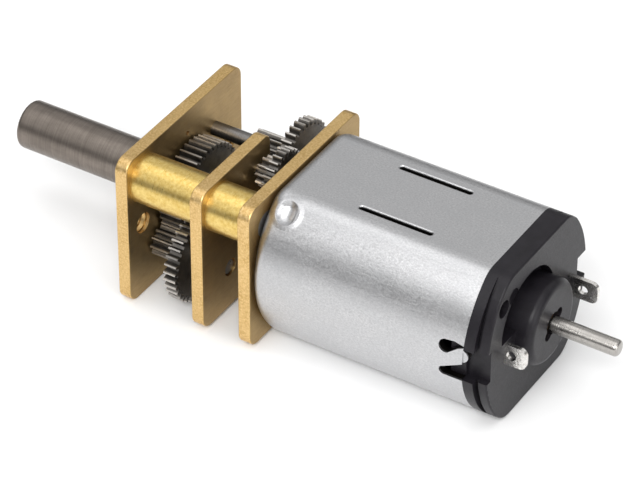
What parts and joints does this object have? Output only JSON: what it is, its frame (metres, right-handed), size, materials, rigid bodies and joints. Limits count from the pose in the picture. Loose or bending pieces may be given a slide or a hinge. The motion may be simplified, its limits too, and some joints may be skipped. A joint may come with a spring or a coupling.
{
  "type": "gearmotor",
  "caption": "Small spur gearmotor: open plate gearbox with a D-shaped output shaft, flat-sided metal motor can, plastic end cap, solder tabs and a rear shaft.",
  "frame": {"origin": "centre of the gearbox's front mounting face, on the shaft line", "axes": "+X out along the output shaft, +Y along the 12 mm width, +Z along the 10 mm height"},
  "size_m": [0.0398, 0.012, 0.01],
  "materials": {
    "brass_plate": "machined and lightly brushed",
    "brass_post": "turned bright brass",
    "steel_screw": "turned",
    "bronze_bearing": "sintered bronze",
    "steel_washer": "stamped",
    "polished_steel": "ground and polished",
    "zinc_plated_can": "drawn, zinc plated satin",
    "ferrite_magnet": "sintered ferrite",
    "black_nylon": "moulded, slightly glossy",
    "tinned_terminal": "bright tin",
    "brush_alloy": "rolled spring alloy",
    "shaft_steel": "turned and ground, satin",
    "gear_steel": "hobbed, lightly oiled",
    "pinion_brass": "hobbed brass",
    "lamination_steel": "stacked laminations",
    "copper_winding": "enamelled copper wire",
    "commutator_resin": "moulded resin",
    "commutator_copper": "turned copper",
    "nylon_washer": "moulded"
  },
  "bodies": {
    "housing": {"front_plate": "brass_plate", "middle_plate": "brass_plate", "rear_plate": "brass_plate", "front_spacer_posts": "brass_post", "rear_spacer_posts": "brass_post", "gearbox_screws": "steel_screw", "motor_screws": "steel_screw", "output_bushing": "bronze_bearing", "output_washer": "steel_washer", "third_arbor": "polished_steel", "idler_pin": "polished_steel", "upper_layshaft_pin": "polished_steel", "lower_layshaft_pin": "polished_steel", "upper_pin_spacer": "steel_washer", "lower_pin_spacer": "steel_washer", "idler_spacer": "steel_washer", "motor_can": "zinc_plated_can", "front_motor_bearing": "bronze_bearing", "rear_motor_bearing": "bronze_bearing", "near_magnet": "ferrite_magnet", "far_magnet": "ferrite_magnet", "end_cap": "black_nylon", "near_terminal": "tinned_terminal", "far_terminal": "tinned_terminal", "near_brush": "brush_alloy", "far_brush": "brush_alloy"},
    "rotor": {"rotor_shaft": "polished_steel", "motor_pinion": "pinion_brass", "rotor_core": "lamination_steel", "rotor_windings": "copper_winding", "commutator_hub": "commutator_resin", "commutator_segments": "commutator_copper", "front_thrust_washer": "nylon_washer", "rear_thrust_washer": "nylon_washer"},
    "first_stage": {"first_gear": "gear_steel", "first_pinion": "gear_steel"},
    "second_stage": {"second_gear": "gear_steel", "second_pinion": "gear_steel"},
    "third_stage": {"third_gear": "gear_steel", "third_pinion": "gear_steel"},
    "fourth_stage": {"fourth_gear": "gear_steel", "fourth_pinion": "gear_steel"},
    "output": {"output_shaft": "shaft_steel", "output_gear": "gear_steel"}
  },
  "joints": [
    {"name": "rotor_spin", "type": "hinge", "parent": "housing", "child": "rotor", "pos_m": [0, 0, 0], "axis": [1, 0, 0], "continuous": true},
    {"name": "first_spin", "type": "hinge", "parent": "housing", "child": "first_stage", "pos_m": [0, 0, 0.00305], "axis": [1, 0, 0], "continuous": true},
    {"name": "second_spin", "type": "hinge", "parent": "housing", "child": "second_stage", "pos_m": [0, -0.0031, 0.00206], "axis": [1, 0, 0], "continuous": true},
    {"name": "third_spin", "type": "hinge", "parent": "housing", "child": "third_stage", "pos_m": [0, 0, 0], "axis": [1, 0, 0], "continuous": true},
    {"name": "fourth_spin", "type": "hinge", "parent": "housing", "child": "fourth_stage", "pos_m": [0, 0.0031, -0.00206], "axis": [1, 0, 0], "continuous": true},
    {"name": "output_spin", "type": "hinge", "parent": "housing", "child": "output", "pos_m": [0, 0, 0], "axis": [1, 0, 0], "continuous": true}
  ],
  "couplings": [
    {"joint": "first_spin", "follows": "rotor_spin", "ratio": -0.8},
    {"joint": "second_spin", "follows": "rotor_spin", "ratio": 0.25},
    {"joint": "third_spin", "follows": "rotor_spin", "ratio": -0.065789},
    {"joint": "fourth_spin", "follows": "rotor_spin", "ratio": 0.024436},
    {"joint": "output_spin", "follows": "rotor_spin", "ratio": -0.0064306}
  ]
}
